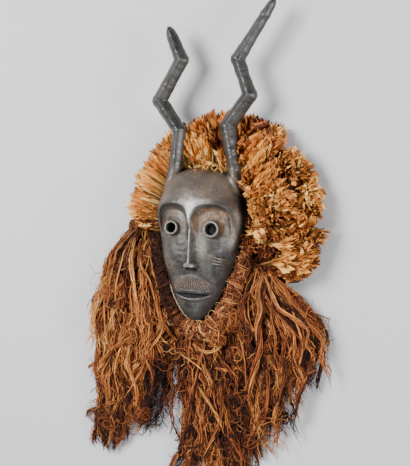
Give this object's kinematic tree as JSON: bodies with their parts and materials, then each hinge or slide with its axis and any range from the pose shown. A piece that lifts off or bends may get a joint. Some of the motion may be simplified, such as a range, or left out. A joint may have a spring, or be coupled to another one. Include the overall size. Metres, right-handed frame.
{
  "type": "horned dance mask",
  "caption": "Carved wooden face mask with zigzag horns, a raffia ruff behind the head, a knotted band along the jaw and long hanks of bast hair, lying face up.",
  "frame": {"origin": "middle of the whole part's footprint, on the ground that it lies on", "axes": "+Y towards the tips of the horns, +X towards the right of the face as it is looked at, +Z out of the face"},
  "size_m": [0.3954, 0.768, 0.1047],
  "materials": {
    "carved_wood": "carved hardwood, blackened and rubbed to a soft gloss, worn pale on its ridges",
    "raffia": "dry cut raffia strips, matte with a slight sheen",
    "knotted_bast": "twisted and knotted bast cord, matte",
    "bast_hair": "long shredded bast fibre, matte with a slight sheen",
    "lashing_cord": "thin twisted vegetable cord, matte"
  },
  "bodies": {
    "root": {"carved_mask": "carved_wood", "raffia_ruff": "raffia", "jaw_band": "knotted_bast", "hair_left": "bast_hair", "beard": "bast_hair", "hair_right": "bast_hair", "jaw_cord": "lashing_cord"}
  },
  "joints": []
}
